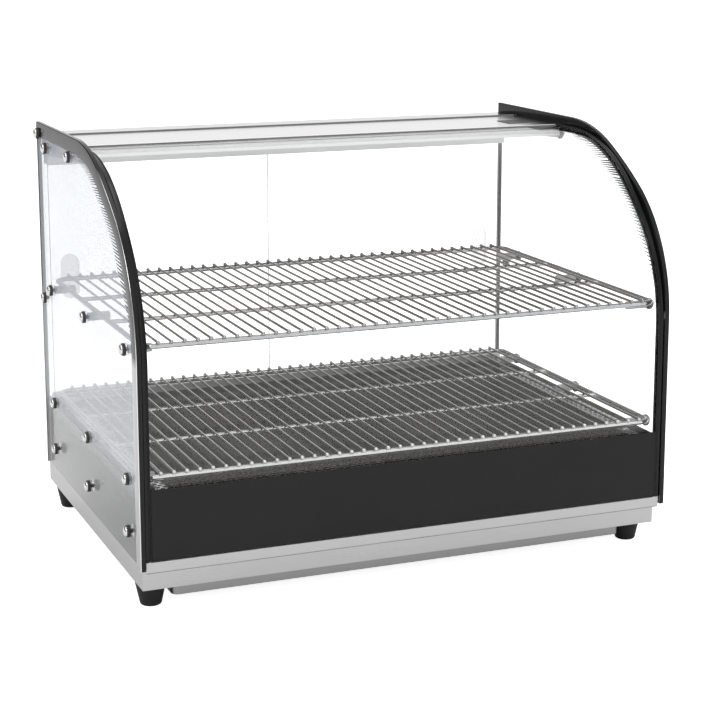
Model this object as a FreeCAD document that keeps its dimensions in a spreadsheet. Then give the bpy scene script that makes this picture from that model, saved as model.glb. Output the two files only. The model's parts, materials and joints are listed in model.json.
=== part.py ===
import FreeCAD, Part
import math
import os
import re

import Sketcher
from FreeCAD import Placement, Rotation, Vector

# A heated countertop display case: curved front glass between two glass side panels, two wire racks,
# sliding glass doors at the back and a heater box in the base.
# Millimetres. X runs across the case, -Y is the curved customer side, +Y the operator side, Z is up.
# The origin is on the counter, below the middle of the case.

DIMENSIONS = {
    # overall planes
    "front_face": -244,
    "case_half": 329,
    "case_top": 504,
    "glass_rear": 216,
    "panel_base": 56,
    "fit_gap": 0.1,
    "sheet": 1.2,
    "overshoot": 1,
    # outline of the side panels: three tangent arcs between the flat top and the upright front
    "shoulder_bend": 225,
    "shoulder_turn": 27,
    "slope_bend": 600,
    "slope_turn": 7.5,
    "nose_bend": 186,
    # outline of the curved front glass
    "pane_front": -240,
    "pane_top": 491,
    "pane_rear": 31,
    "pane_base": 139.3,
    "pane_half": 319.8,
    "pane_thick": 4,
    "pane_shoulder_bend": 212,
    "pane_shoulder_turn": 39.5,
    "pane_slope_bend": 413,
    "pane_slope_turn": 7.5,
    "pane_nose_bend": 187,
    # side glass, its edging and rear seal
    "side_glass_thick": 4,
    "edging_sheet": 1,
    "edging_band": 18,
    "edging_lip": 14,
    "edging_nose": 1.5,
    "edging_gap": 1.6,
    "seal_reach": 3,
    "seal_wall": 0.6,
    # channels that hold the curved glass
    "channel_half": 322.5,
    "channel_wide": 7,
    "channel_wall": 1.6,
    "channel_gap": 0.2,
    # feet and their fixings
    "foot_half_span": 305,
    "foot_front": -194,
    "foot_rear": 191,
    "foot_tall": 28,
    "foot_top_radius": 18,
    "foot_base_radius": 12,
    "foot_round": 3,
    "foot_recess_radius": 6.5,
    "foot_recess_deep": 9,
    "foot_screw_radius": 3,
    "foot_screw_end": 1,
    "foot_hole_play": 0.3,
    "foot_head_radius": 5.5,
    "foot_head_tall": 3.5,
    "foot_nut_radius": 5.7,
    "foot_nut_tall": 5,
    # tray, under-pan and heater box
    "frame_half": 323,
    "frame_front": -227.5,
    "frame_rear": 229.5,
    "frame_rim": 53,
    "frame_sheet": 1.5,
    "pan_half": 285,
    "pan_front": -214,
    "pan_rear": 200,
    "pan_deep": 14.5,
    "pan_corner": 8,
    "chassis_half": 323,
    # lower front
    "strip_half": 322,
    "strip_front": -241.4,
    "strip_top": 66.3,
    "strip_lip": 5,
    "strip_chamfer": 2,
    "apron_half": 315.3,
    "apron_front": -242,
    "apron_top": 147,
    "ledge_over": 2,
    # deck and its vents
    "deck_top": 141,
    "deck_front": -233.8,
    "vent_half": 304,
    "vent_front": -230,
    "vent_back": -192,
    "side_vent_inner": 284,
    "side_vent_outer": 314,
    "side_vent_front": -184,
    "side_vent_rear": 150,
    "vent_hole_radius": 2,
    "vent_pitch": 16,
    # canopy
    "cover_half": 322.6,
    "cover_seam": 164,
    "cover_front": 33,
    "cover_gap": 2.5,
    "cover_turn": 3.4,
    "gasket_proud": 2.2,
    "rail_rear": 214.8,
    "rail_drop": 30,
    "fascia_front": 20,
    "fascia_base": 479.5,
    "fascia_lip": 5,
    "fascia_step": 1.6,
    "fascia_flange": 40,
    "liner_half": 320.8,
    "liner_rear": 190.5,
    "liner_front_level": 480,
    "liner_rear_level": 463,
    "end_front_level": 475,
    # lamp
    "lamp_y": 105,
    "lamp_level": 478,
    "lamp_radius": 6.5,
    "lamp_half": 262,
    "lamp_pin": 4,
    "lamp_window": 40,
    "lamp_window_tall": 30,
    "lamp_holder_base": 475,
    "lamp_holder_long": 16,
    "lamp_holder_wide": 24,
    "lamp_holder_tall": 12.5,
    # rear doors and tracks
    "track_front": 192,
    "track_wall": 3,
    "track_groove": 6,
    "track_half": 321,
    "upper_track_base": 450,
    "upper_track_top": 465,
    "lower_track_half": 319.8,
    "lower_track_top": 150,
    "door_thick": 4,
    "door_base": 144.5,
    "door_top": 460,
    "door_outer_edge": 320,
    "door_overlap": 22,
    "door_play": 1,
    "pull_level": 304,
    "pull_inset": 26,
    "pull_thick": 3.4,
    "pull_radius": 12,
    "pull_straight": 34,
    "pull_border": 3,
    "pull_floor": 1,
    # racks and pegs
    "rack_half": 317,
    "rack_front": -227,
    "rack_rear": 184,
    "rack_corner": 14,
    "rack_rod_radius": 3,
    "rack_wire_radius": 1.5,
    "rack_wire_pitch": 15,
    "rack_wires": 41,
    "rack_wire_over": 2,
    "rack_bar_radius": 2.5,
    "rack_weld": 0.3,
    "rack_lift_gap": 0.3,
    "upper_peg_level": 295.5,
    "lower_peg_level": 148.5,
    "peg_radius": 5,
    "peg_bore_radius": 2.2,
    "peg_inner": 298,
    "peg_cap": 4,
    "peg_rear": 160,
    "peg_middle": -13,
    "peg_front": -194,
    # side screws
    "screw_radius": 2,
    "screw_hole_radius": 2.4,
    "screw_head_radius": 6.2,
    "screw_crown_radius": 4,
    "screw_head_tall": 3.6,
    "washer_radius": 7,
    "washer_thick": 3,
    "peg_screw_reach": 22,
    "short_screw_reach": 7.1,
    "base_screw_level": 88,
    "canopy_screw_rear": 168,
    "canopy_screw_rear_level": 475,
    "canopy_screw_front": 44,
    "canopy_screw_front_level": 478.5,
    "seal_screw_y": 198,
    "seal_screw_level": 279,
    "edging_screw_y": 204,
    "edging_screw_level": 490,
    # heater
    "heater_radius": 4,
    "heater_level": 116,
    "heater_half": 250,
    "heater_front": -170,
    "heater_bend": 30,
    "saddle_x": 150,
    "saddle_wide": 14,
    # thermostat and its knob
    "control_level": 96,
    "knob_x": -230,
    "knob_face": 244,
    "knob_radius": 20,
    "knob_tall": 15,
    "knob_skirt": 5,
    "knob_grip_radius": 12,
    "knob_bar": 6,
    "knob_cap": 3,
    "shaft_radius": 3,
    "shaft_hole_radius": 3.6,
    "shaft_play": 1,
    "thermostat_half": 17,
    "thermostat_deep": 26,
    # rocker switches
    "power_x": -150,
    "light_x": -105,
    "switch_half": 10,
    "switch_half_tall": 14,
    "switch_deep": 18,
    "bezel_border": 2.5,
    "bezel_thick": 2,
    "rocker_half": 7,
    "rocker_recess_half": 7.5,
    "rocker_recess_tall": 12,
    "rocker_recess_long": 24,
    "rocker_floor": 216,
    "rocker_axis_y": 226,
    "rocker_tilt": 10,
    "rocker_pin_radius": 1.5,
    "rocker_pin_in": 1.6,
    # pilot lamp, louvres, cable gland and terminals
    "pilot_x": -185,
    "pilot_radius": 5,
    "pilot_deep": 14,
    "rim_step": 1,
    "louvres": 10,
    "louvre_x": -20,
    "louvre_pitch": 18,
    "louvre_wide": 5,
    "louvre_tall": 46,
    "louvre_level": 64,
    "gland_x": 240,
    "gland_level": 86,
    "gland_radius": 10,
    "gland_bore_radius": 4,
    "gland_thread": 10,
    "gland_flange": 3,
    "gland_collar": 5,
    "gland_nose": 14,
    "terminal_long": 50,
    "terminal_y": 160,
    "terminal_wide": 22,
    "terminal_tall": 18,
}

doc = FreeCAD.newDocument("hot_food_display_case")
sheet = doc.addObject("Spreadsheet::Sheet", "dims")
for row, (alias, number) in enumerate(DIMENSIONS.items(), start=1):
    sheet.set(f"A{row}", alias)
    sheet.set(f"B{row}", str(number))
    sheet.setAlias(f"B{row}", alias)
doc.recompute()

size = {alias: float(sheet.get(alias)) for alias in DIMENSIONS}
AXES = {"X": Vector(1, 0, 0), "Y": Vector(0, 1, 0), "Z": Vector(0, 0, 1)}
SIDES = {"left": -1, "right": 1}
nodes = []


def cells(text):
    """Turns 'case_half - sheet' into an expression that reads those cells of the sheet."""
    words = re.findall(r"[a-z_]+|[^a-z_]+", str(text))
    return "".join("dims." + word if word in DIMENSIONS else word for word in words)


def total(text):
    """The number behind a sum of cell names and plain numbers."""
    terms = re.findall(r"([+-]?)\s*([a-z_]+|[\d.]+)", text)
    amounts = [size[word] if word in size else float(word) for _, word in terms]
    return sum(-amount if sign == "-" else amount for (sign, _), amount in zip(terms, amounts))


def node(item, label):
    """Names a finished sub-part, which is then written to its own file."""
    item.Label = label
    nodes.append(item)
    return item


# ---------------------------------------------------------------- primitives


def box(x, y, z, long_x, long_y, long_z):
    """A block from its lowest corner and its lengths, each an expression on the sheet."""
    item = doc.addObject("Part::Box", "block")
    for name, value in (("Length", long_x), ("Width", long_y), ("Height", long_z)):
        item.setExpression(name, cells(value))
    for name, value in (("x", x), ("y", y), ("z", z)):
        item.setExpression(f"Placement.Base.{name}", cells(value))
    return item


def rod(axis, x, y, z, radius, length):
    """A cylinder that starts at a point and runs along X, Y or Z."""
    item = doc.addObject("Part::Cylinder", "rod")
    item.Placement = Placement(Vector(), Rotation(AXES["Z"], AXES[axis]))
    item.setExpression("Radius", cells(radius))
    item.setExpression("Height", cells(length))
    for name, value in (("x", x), ("y", y), ("z", z)):
        item.setExpression(f"Placement.Base.{name}", cells(value))
    return item


def fuse(*shapes):
    item = doc.addObject("Part::MultiFuse", "fusion")
    item.Shapes = list(shapes)
    return item


def cut(base, *tools):
    item = doc.addObject("Part::Cut", "cut")
    item.Base = base
    item.Tool = tools[0] if len(tools) == 1 else fuse(*tools)
    return item


def group(*shapes):
    item = doc.addObject("Part::Compound", "group")
    item.Links = list(shapes)
    return item


# ---------------------------------------------------------------- sketched bodies


def new_body():
    return doc.addObject("PartDesign::Body", "body")


def sketch_on(body, plane, offset):
    """An empty sketch on one of the body's planes, moved along its normal by an expression."""
    sketch = body.newObject("Sketcher::SketchObject", "sketch")
    role = plane + "_Plane"
    origin_plane = next(f for f in body.Origin.OriginFeatures if f.Role == role)
    sketch.AttachmentSupport = [(origin_plane, "")]
    sketch.MapMode = "FlatFace"
    sketch.setExpression("AttachmentOffset.Base.z", cells(offset))
    return sketch


def pin_point(sketch, curve, end, across, up, start):
    """Holds one end of a curve at two expressions, measured from the sketch's origin."""
    for kind, value, first in (("DistanceX", across, start.x), ("DistanceY", up, start.y)):
        index = sketch.addConstraint(Sketcher.Constraint(kind, -1, 1, curve, end, first))
        sketch.setExpression(f"Constraints[{index}]", cells(value))


def polygon(sketch, points):
    """A closed outline of straight lines through points given as pairs of expressions."""
    count = len(points)
    turn = 2 * math.pi / count
    corners = [Vector(math.cos(turn * i), math.sin(turn * i), 0) * 10 for i in range(count)]
    first = len(sketch.Geometry)
    for i, corner in enumerate(corners):
        sketch.addGeometry(Part.LineSegment(corner, corners[(i + 1) % count]), False)
    for i in range(count):
        following = first + (i + 1) % count
        sketch.addConstraint(Sketcher.Constraint("Coincident", first + i, 2, following, 1))
    for i, (across, up) in enumerate(points):
        pin_point(sketch, first + i, 1, across, up, corners[i])


def circles(sketch, places, radius):
    """Round holes of one radius at pairs of expressions."""
    for across, up in places:
        index = sketch.addGeometry(Part.Circle(Vector(), Vector(0, 0, 1), 1), False)
        number = sketch.addConstraint(Sketcher.Constraint("Radius", index, 1))
        sketch.setExpression(f"Constraints[{number}]", cells(radius))
        pin_point(sketch, index, 3, across, up, Vector(1, 1, 0))


def pad(body, sketch, length):
    feature = body.newObject("PartDesign::Pad", "pad")
    feature.Profile = sketch
    feature.setExpression("Length", cells(length))
    sketch.Visibility = False
    return feature


def pocket(body, sketch):
    """Cuts a sketch through the whole body, both ways."""
    feature = body.newObject("PartDesign::Pocket", "pocket")
    feature.Profile = sketch
    feature.Type = "ThroughAll"
    feature.Midplane = True
    sketch.Visibility = False
    return feature


def extrusion(points, start="-case_half", length="2 * case_half", plane="YZ"):
    """A body of one section, drawn as expressions and run along the plane's normal."""
    body = new_body()
    sketch = sketch_on(body, plane, start)
    polygon(sketch, points)
    pad(body, sketch, length)
    return body


def plate(x_half, y_low, y_high, base, thick):
    """A flat sheet, even about X = 0."""
    return box(f"-({x_half})", y_low, base, f"2 * ({x_half})", f"({y_high}) - ({y_low})", thick)


# ---------------------------------------------------------------- the two curved outlines


class Outline:
    """A flat top, three tangent arcs turning down through 90 degrees, and an upright front."""

    def __init__(self, prefix, front, top, rear, base):
        self.prefix = prefix
        self.front, self.top, self.rear, self.base = front, top, rear, base
        self.bends = [prefix + name for name in ("shoulder_bend", "slope_bend", "nose_bend")]

    def turns(self):
        first = math.radians(size[self.prefix + "shoulder_turn"])
        second = first + math.radians(size[self.prefix + "slope_turn"])
        return [0, first, second, math.pi / 2]

    def arcs(self, inset):
        """Start, middle and end point of each arc of the outline moved inwards by inset."""
        radii = [size[name] for name in self.bends]
        turns = self.turns()
        shift = (radii[0] - radii[1]) * math.sin(turns[1])
        shift += (radii[1] - radii[2]) * math.sin(turns[2])
        start = size[self.front] + radii[2] + shift
        centre = Vector(start, size[self.top] - radii[0], 0)
        found = []
        for i, radius in enumerate(radii):
            if i:
                outward = Vector(-math.sin(turns[i]), math.cos(turns[i]), 0)
                centre = centre + outward * (radii[i - 1] - radius)
            angles = (turns[i], (turns[i] + turns[i + 1]) / 2, turns[i + 1])
            ring = [Vector(-math.sin(a), math.cos(a), 0) * (radius - inset) for a in angles]
            found.append([centre + point for point in ring])
        return found

    def draw(self, sketch, inset):
        """Draws the outline as five joined curves and returns the first and the last one."""
        amount = total(inset)
        arcs = self.arcs(amount)
        rear = Vector(size[self.rear], arcs[0][0].y, 0)
        bottom = Vector(arcs[2][2].x, size[self.base], 0)
        first = sketch.addGeometry(Part.LineSegment(rear, arcs[0][0]), False)
        for points in arcs:
            sketch.addGeometry(Part.Arc(*points), False)
        last = sketch.addGeometry(Part.LineSegment(arcs[2][2], bottom), False)
        for curve in range(first, last):
            sketch.addConstraint(Sketcher.Constraint("Coincident", curve, 2, curve + 1, 1))
        for bend, name in enumerate(self.bends, start=first + 1):
            radius = size[name] - amount
            number = sketch.addConstraint(Sketcher.Constraint("Radius", bend, radius))
            sketch.setExpression(f"Constraints[{number}]", cells(f"{name} - ({inset})"))
        turns = self.turns()
        for i in range(2):
            span = turns[i + 1] - turns[i]
            sketch.addConstraint(Sketcher.Constraint("Angle", first + 1 + i, span))
        sketch.addConstraint(Sketcher.Constraint("Horizontal", first))
        pin_point(sketch, first, 1, self.rear, f"{self.top} - ({inset})", rear)
        pin_point(sketch, last, 2, f"{self.front} + ({inset})", self.base, bottom)
        return first, last

    def area(self, body, inset, start, thick):
        """The whole area inside the outline, as a flat sheet."""
        sketch = sketch_on(body, "YZ", start)
        first, last = self.draw(sketch, inset)
        top = sketch.Geometry[first].StartPoint
        bottom = sketch.Geometry[last].EndPoint
        corner = Vector(top.x, bottom.y, 0)
        foot = sketch.addGeometry(Part.LineSegment(bottom, corner), False)
        back = sketch.addGeometry(Part.LineSegment(corner, top), False)
        for join in ((last, 2, foot, 1), (foot, 2, back, 1), (back, 2, first, 1)):
            sketch.addConstraint(Sketcher.Constraint("Coincident", *join))
        sketch.addConstraint(Sketcher.Constraint("Vertical", back))
        sketch.addConstraint(Sketcher.Constraint("Horizontal", foot))
        return pad(body, sketch, thick)

    def band(self, body, outer, inner, start, thick):
        """A band that follows the outline between two insets."""
        sketch = sketch_on(body, "YZ", start)
        chains = [self.draw(sketch, inset) for inset in (outer, inner)]
        (first, last), (inner_first, inner_last) = chains
        for one, other, end in ((first, inner_first, 1), (last, inner_last, 2)):
            curves = [sketch.Geometry[curve] for curve in (one, other)]
            points = [curve.StartPoint if end == 1 else curve.EndPoint for curve in curves]
            closing = sketch.addGeometry(Part.LineSegment(*points), False)
            sketch.addConstraint(Sketcher.Constraint("Coincident", closing, 1, one, end))
            sketch.addConstraint(Sketcher.Constraint("Coincident", closing, 2, other, end))
        return pad(body, sketch, thick)


PANEL = Outline("", "front_face", "case_top", "glass_rear", "panel_base")
PANE = Outline("pane_", "pane_front", "pane_top", "pane_rear", "pane_base")
CHANNEL = Outline("pane_", "pane_front", "pane_top", "pane_rear", "strip_top")


def span(side, inner, outer):
    """Start and length along X of something between two distances from the middle."""
    start = f"-({outer})" if side == "left" else inner
    return start, f"({outer}) - ({inner})"


# ---------------------------------------------------------------- shared places and planes

FOOT_PLACES = {
    "front_left": ("-foot_half_span", "foot_front"),
    "front_right": ("foot_half_span", "foot_front"),
    "rear_left": ("-foot_half_span", "foot_rear"),
    "rear_right": ("foot_half_span", "foot_rear"),
}
PEGS = [
    (y, level)
    for level in ("upper_peg_level", "lower_peg_level")
    for y in ("peg_rear", "peg_middle", "peg_front")
]
BASE_SCREWS = [(y, "base_screw_level") for y in ("peg_rear", "peg_middle", "peg_front")]
CANOPY_SCREWS = [(y, f"{y}_level") for y in ("canopy_screw_rear", "canopy_screw_front")]
SEAL_SCREWS = [("seal_screw_y", "seal_screw_level")]
EDGING_SCREWS = [("edging_screw_y", "edging_screw_level")]
GLASS_SCREWS = PEGS + BASE_SCREWS + CANOPY_SCREWS + SEAL_SCREWS
GLASS_FACE = "case_half - edging_sheet"
GLASS_BACK = "case_half - edging_sheet - side_glass_thick"
PANEL_OUT = "frame_rear - frame_sheet - fit_gap"
BOX_HALF = "frame_half - frame_sheet - 2 * fit_gap"
# Corners of a rocker's section: distance out from its pin, then height above it
ROCKER_PROFILE = [(4.5, 10.5), (2.5, 0), (4.5, -10.5), (-2, -6), (-2, 6)]


# ---------------------------------------------------------------- base


def base_frame():
    """Folded steel tray with a flat floor that the feet bolt to."""
    tray = box(
        "-frame_half", "frame_front", "foot_tall",
        "2 * frame_half", "frame_rear - frame_front", "frame_rim - foot_tall",
    )
    hollow = box(
        "frame_sheet - frame_half", "frame_front + frame_sheet", "foot_tall + frame_sheet",
        "2 * (frame_half - frame_sheet)", "frame_rear - frame_front - 2 * frame_sheet",
        "frame_rim - foot_tall",
    )
    holes = [
        rod("Z", x, y, "foot_tall - overshoot", "foot_screw_radius + foot_hole_play",
            "frame_sheet + 2 * overshoot")
        for x, y in FOOT_PLACES.values()
    ]
    node(cut(tray, hollow, *holes), "base_frame")


def foot(name, x, y):
    """Tapered rubber foot with a recess below for its screw."""
    body = new_body()
    sketch = sketch_on(body, "XZ", "0")
    bore = "foot_screw_radius + foot_hole_play"
    polygon(sketch, [
        ("foot_recess_radius", "0"), ("foot_base_radius", "0"),
        ("foot_top_radius", "foot_tall"), (bore, "foot_tall"),
        (bore, "foot_recess_deep"), ("foot_recess_radius", "foot_recess_deep"),
    ])
    turned = body.newObject("PartDesign::Revolution", "turned")
    turned.Profile = sketch
    turned.ReferenceAxis = (sketch, ["V_Axis"])
    turned.Angle = 360
    doc.recompute()
    rim = max(
        (i for i, edge in enumerate(turned.Shape.Edges, start=1)
         if edge.BoundBox.ZMax < size["foot_round"] and edge.BoundBox.ZLength < size["fit_gap"]),
        key=lambda i: turned.Shape.Edges[i - 1].BoundBox.XLength,
    )
    rounded = body.newObject("PartDesign::Fillet", "rounded")
    rounded.Base = (turned, [f"Edge{rim}"])
    rounded.setExpression("Radius", cells("foot_round"))
    body.setExpression("Placement.Base.x", cells(x))
    body.setExpression("Placement.Base.y", cells(y))
    node(body, f"foot_{name}")


def foot_fixings():
    """Pan-head screws up through the feet, and a nut on each inside the tray."""
    screws, nuts = [], []
    inside = "foot_tall + frame_sheet"
    for x, y in FOOT_PLACES.values():
        head = rod("Z", x, y, "foot_recess_deep - foot_head_tall", "foot_head_radius", "foot_head_tall")
        length = f"{inside} + foot_nut_tall + foot_screw_end - foot_recess_deep"
        shank = rod("Z", x, y, "foot_recess_deep", "foot_screw_radius", length)
        screws.append(fuse(head, shank))
        hexagon = doc.addObject("Part::Prism", "hexagon")
        hexagon.Polygon = 6
        hexagon.setExpression("Circumradius", cells("foot_nut_radius"))
        hexagon.setExpression("Height", cells("foot_nut_tall"))
        for name, value in (("x", x), ("y", y), ("z", inside)):
            hexagon.setExpression(f"Placement.Base.{name}", cells(value))
        bore = rod("Z", x, y, inside, "foot_screw_radius + fit_gap / 2", "foot_nut_tall")
        nuts.append(cut(hexagon, bore))
    node(group(*screws), "foot_screws")
    node(group(*nuts), "foot_nuts")


def under_pan():
    """Shallow round-cornered pan under the tray's floor."""
    def rounded_block(inset, base, top):
        body = new_body()
        sketch = sketch_on(body, "XY", base)
        half, front, rear = f"pan_half - {inset}", f"pan_front + {inset}", f"pan_rear - {inset}"
        polygon(sketch, [(f"-({half})", front), (half, front), (half, rear), (f"-({half})", rear)])
        block = pad(body, sketch, f"{top} - ({base})")
        doc.recompute()
        upright = [
            f"Edge{i}" for i, edge in enumerate(block.Shape.Edges, start=1)
            if edge.BoundBox.ZLength > size["fit_gap"]
        ]
        corners = body.newObject("PartDesign::Fillet", "corners")
        corners.Base = (block, upright)
        corners.setExpression("Radius", cells(f"pan_corner - {inset}"))
        return body

    outside = rounded_block("0", "foot_tall - pan_deep", "foot_tall")
    hollow = rounded_block("sheet", "foot_tall - pan_deep + sheet", "foot_tall + overshoot")
    node(cut(outside, hollow), "under_pan")


def screw_holes(start, places):
    """Cutters for a row of side screws through an upright sheet that starts at a level along X."""
    return [
        rod("X", f"{start} - overshoot", y, z, "screw_hole_radius", "sheet + 2 * overshoot")
        for y, z in places
    ]


def chassis_side(side):
    """Upright steel side of the heater box, drilled for the side screws."""
    start, thick = span(side, "chassis_half - sheet", "chassis_half")
    front = "frame_front + frame_sheet + fit_gap"
    rear = "frame_rear - frame_sheet - sheet - 3 * fit_gap"
    floor = "frame_rim"
    wall = box(start, front, floor, thick, f"{rear} - ({front})", f"deck_top - sheet - ({floor})")
    node(cut(wall, *screw_holes(start, BASE_SCREWS)), f"chassis_side_{side}")


def rear_panel():
    """Operator-side panel with a ledge for the door track, cut for the controls and the vents."""
    floor = "foot_tall + frame_sheet"
    half = BOX_HALF
    folded = extrusion([
        (PANEL_OUT, floor), (PANEL_OUT, "deck_top"), ("track_front", "deck_top"),
        ("track_front", "deck_top - sheet"), (f"{PANEL_OUT} - sheet", "deck_top - sheet"),
        (f"{PANEL_OUT} - sheet", floor),
    ], f"-({half})", f"2 * ({half})")
    behind, through = f"{PANEL_OUT} - sheet - overshoot", "sheet + 2 * overshoot"
    tools = [
        rod("Y", "knob_x", behind, "control_level", "shaft_hole_radius", through),
        rod("Y", "pilot_x", behind, "control_level", "pilot_radius + fit_gap", through),
        rod("Y", "gland_x", behind, "gland_level", "gland_radius + fit_gap", through),
    ]
    for x in ("power_x", "light_x"):
        tools.append(box(
            f"{x} - switch_half - fit_gap", behind, "control_level - switch_half_tall - fit_gap",
            "2 * (switch_half + fit_gap)", through, "2 * (switch_half_tall + fit_gap)",
        ))
    for i in range(int(size["louvres"])):
        left = f"louvre_x + {i} * louvre_pitch"
        tools.append(box(left, behind, "louvre_level", "louvre_wide", through, "louvre_tall"))
    node(cut(folded, *tools), "rear_panel")


def front_strip():
    """Steel strip folded forwards over the tray, below the black panel."""
    face, back = "strip_front", "frame_front + frame_sheet"
    node(extrusion([
        (face, "frame_rim"), (face, "strip_top - strip_chamfer"),
        (f"{face} + strip_chamfer", "strip_top"), (f"{face} + strip_lip", "strip_top"),
        (f"{face} + strip_lip", "strip_top - sheet"),
        (f"{face} + strip_chamfer + sheet / 2", "strip_top - sheet"),
        (f"{face} + sheet", "strip_top - strip_chamfer - sheet / 2"),
        (f"{face} + sheet", "frame_rim + sheet"), (back, "frame_rim + sheet"), (back, "frame_rim"),
    ], "-strip_half", "2 * strip_half"), "front_strip")


def front_panel():
    """Black lower front with the ledge that carries the curved glass."""
    back, ledge = "apron_front + sheet", "pane_base - fit_gap"
    node(extrusion([
        ("apron_front", "strip_top"), ("apron_front", "apron_top"), (back, "apron_top"),
        (back, ledge), ("pane_front + pane_thick + ledge_over", ledge),
        ("pane_front + pane_thick + ledge_over", f"{ledge} - sheet"), (back, f"{ledge} - sheet"),
        (back, "strip_top"),
    ], "-apron_half", "2 * apron_half"), "front_panel")


def deck():
    """Steel floor of the heated space, with a perforated strip at the front and each side."""
    base = "deck_top - sheet"
    floor = plate(BOX_HALF, "deck_front", "track_front - 2 * fit_gap", base, "sheet")
    below, through = f"{base} - overshoot", "sheet + 2 * overshoot"
    front = plate("vent_half", "vent_front", "vent_back", below, through)
    long_y = "side_vent_rear - side_vent_front"
    wide = "side_vent_outer - side_vent_inner"
    starts = {"left": "-side_vent_outer", "right": "side_vent_inner"}
    sides = [box(x, "side_vent_front", below, wide, long_y, through) for x in starts.values()]
    node(cut(floor, front, *sides), "deck_plate")

    count = int(2 * size["vent_half"] / size["vent_pitch"]) - 1
    row = [
        (f"({i} - {(count - 1) / 2}) * vent_pitch", "(vent_front + vent_back) / 2")
        for i in range(count)
    ]
    strip = perforated("-vent_half", "vent_half", "vent_front", "vent_back", base, row)
    node(strip, "vent_strip_front")
    count = int((size["side_vent_rear"] - size["side_vent_front"]) / size["vent_pitch"]) - 1
    for side, x in starts.items():
        middle = f"{x} + ({wide}) / 2"
        row = [(middle, f"side_vent_front + {i + 1} * vent_pitch") for i in range(count)]
        far = f"{x} + {wide}"
        strip = perforated(x, far, "side_vent_front", "side_vent_rear", base, row)
        node(strip, f"vent_strip_{side}")


def perforated(x_low, x_high, y_low, y_high, base, row):
    """A strip that fits a window of the deck, with one row of round holes."""
    body = new_body()
    sketch = sketch_on(body, "XY", base)
    low_x, high_x = f"{x_low} + fit_gap", f"{x_high} - fit_gap"
    low_y, high_y = f"{y_low} + fit_gap", f"{y_high} - fit_gap"
    polygon(sketch, [(low_x, low_y), (high_x, low_y), (high_x, high_y), (low_x, high_y)])
    circles(sketch, row, "vent_hole_radius")
    pad(body, sketch, "sheet")
    return body


# ---------------------------------------------------------------- glass, edging and channels


def side_glass(side):
    body = new_body()
    start, thick = span(side, GLASS_BACK, GLASS_FACE)
    PANEL.area(body, "edging_gap", start, thick)
    sketch = sketch_on(body, "YZ", start)
    circles(sketch, GLASS_SCREWS + EDGING_SCREWS, "screw_hole_radius")
    pocket(body, sketch)
    node(body, f"side_glass_{side}")


def edge_trim(side):
    """Black edging round the top and front edge of a side glass."""
    body = new_body()
    inner_face = f"{GLASS_BACK} - edging_sheet"
    PANEL.band(body, "0", "edging_band", *span(side, GLASS_FACE, "case_half"))
    PANEL.band(body, "0", "edging_nose", *span(side, inner_face, "case_half"))
    PANEL.band(body, "0", "edging_lip", *span(side, inner_face, GLASS_BACK))
    sketch = sketch_on(body, "YZ", span(side, inner_face, "case_half")[0])
    circles(sketch, EDGING_SCREWS, "screw_hole_radius")
    pocket(body, sketch)
    node(body, f"edge_trim_{side}")


def rear_seal(side):
    """Slim U-shaped seal on the rear edge of a side glass."""
    sign = "-" if side == "left" else ""
    inner, outer = f"{GLASS_BACK} - seal_wall", f"{GLASS_FACE} + seal_wall"
    across = [inner, outer, outer, GLASS_FACE, GLASS_FACE, GLASS_BACK, GLASS_BACK, inner]
    edge, mouth = "glass_rear + seal_wall", "glass_rear - seal_reach"
    up = [edge, edge, mouth, mouth, "glass_rear", "glass_rear", mouth, mouth]
    points = [(f"{sign}({x})", y) for x, y in zip(across, up)]
    length = "case_top - edging_band - fit_gap - panel_base"
    node(extrusion(points, "panel_base", length, "XY"), f"rear_seal_{side}")


def front_channel(side):
    """Black channel that holds the edge of the curved glass."""
    body = new_body()
    outside = "-channel_gap - channel_wall"
    inside = "pane_thick + channel_gap"
    lips = span(side, "channel_half - channel_wide", "channel_half")
    CHANNEL.band(body, outside, "-channel_gap", *lips)
    web = span(side, "pane_half + 2 * fit_gap", "channel_half")
    CHANNEL.band(body, outside, f"{inside} + channel_wall", *web)
    CHANNEL.band(body, inside, f"{inside} + channel_wall", *lips)
    node(body, f"front_channel_{side}")


def front_glass():
    body = new_body()
    PANE.band(body, "0", "pane_thick", "-pane_half", "2 * pane_half")
    node(body, "front_glass")


# ---------------------------------------------------------------- canopy


def top_covers():
    """The steel top in two sheets, and the black gaskets in the seams in front of each."""
    top, under = "pane_top", "pane_top - sheet"
    node(extrusion([
        ("cover_front", top), ("cover_seam - cover_gap", top), ("cover_seam - cover_gap", under),
        ("cover_front + sheet", under), ("cover_front + sheet", f"{top} - cover_turn"),
        ("cover_front", f"{top} - cover_turn"),
    ], "-cover_half", "2 * cover_half"), "top_panel")
    node(extrusion([
        ("cover_seam", top), ("rail_rear", top), ("rail_rear", f"{top} - rail_drop"),
        ("rail_rear - sheet", f"{top} - rail_drop"), ("rail_rear - sheet", under),
        ("cover_seam", under),
    ], "-cover_half", "2 * cover_half"), "top_rear_rail")
    base, tall = f"{top} - 2 * sheet", "2 * sheet + gasket_proud"
    rear = plate(
        "liner_half", "cover_seam - cover_gap + fit_gap", "cover_seam - fit_gap", base, tall
    )
    front = plate("apron_half", "pane_rear + fit_gap", "cover_front - fit_gap", base, tall)
    node(group(rear, front), "cover_gaskets")


def canopy_fascia():
    """Front of the canopy behind the curved glass: a lip below, and a flange under the glass."""
    top = "pane_top - pane_thick - 2 * fit_gap"
    face = "fascia_front"
    node(extrusion([
        (f"{face} - fascia_step", "fascia_base"),
        (f"{face} - fascia_step", "fascia_base + fascia_lip"), (face, "fascia_base + fascia_lip"),
        (face, top), (f"{face} + fascia_flange", top), (f"{face} + fascia_flange", f"{top} - sheet"),
        (f"{face} + sheet", f"{top} - sheet"), (f"{face} + sheet", "fascia_base"),
    ], "fit_gap - apron_half", "2 * (apron_half - fit_gap)"), "canopy_fascia")


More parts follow.
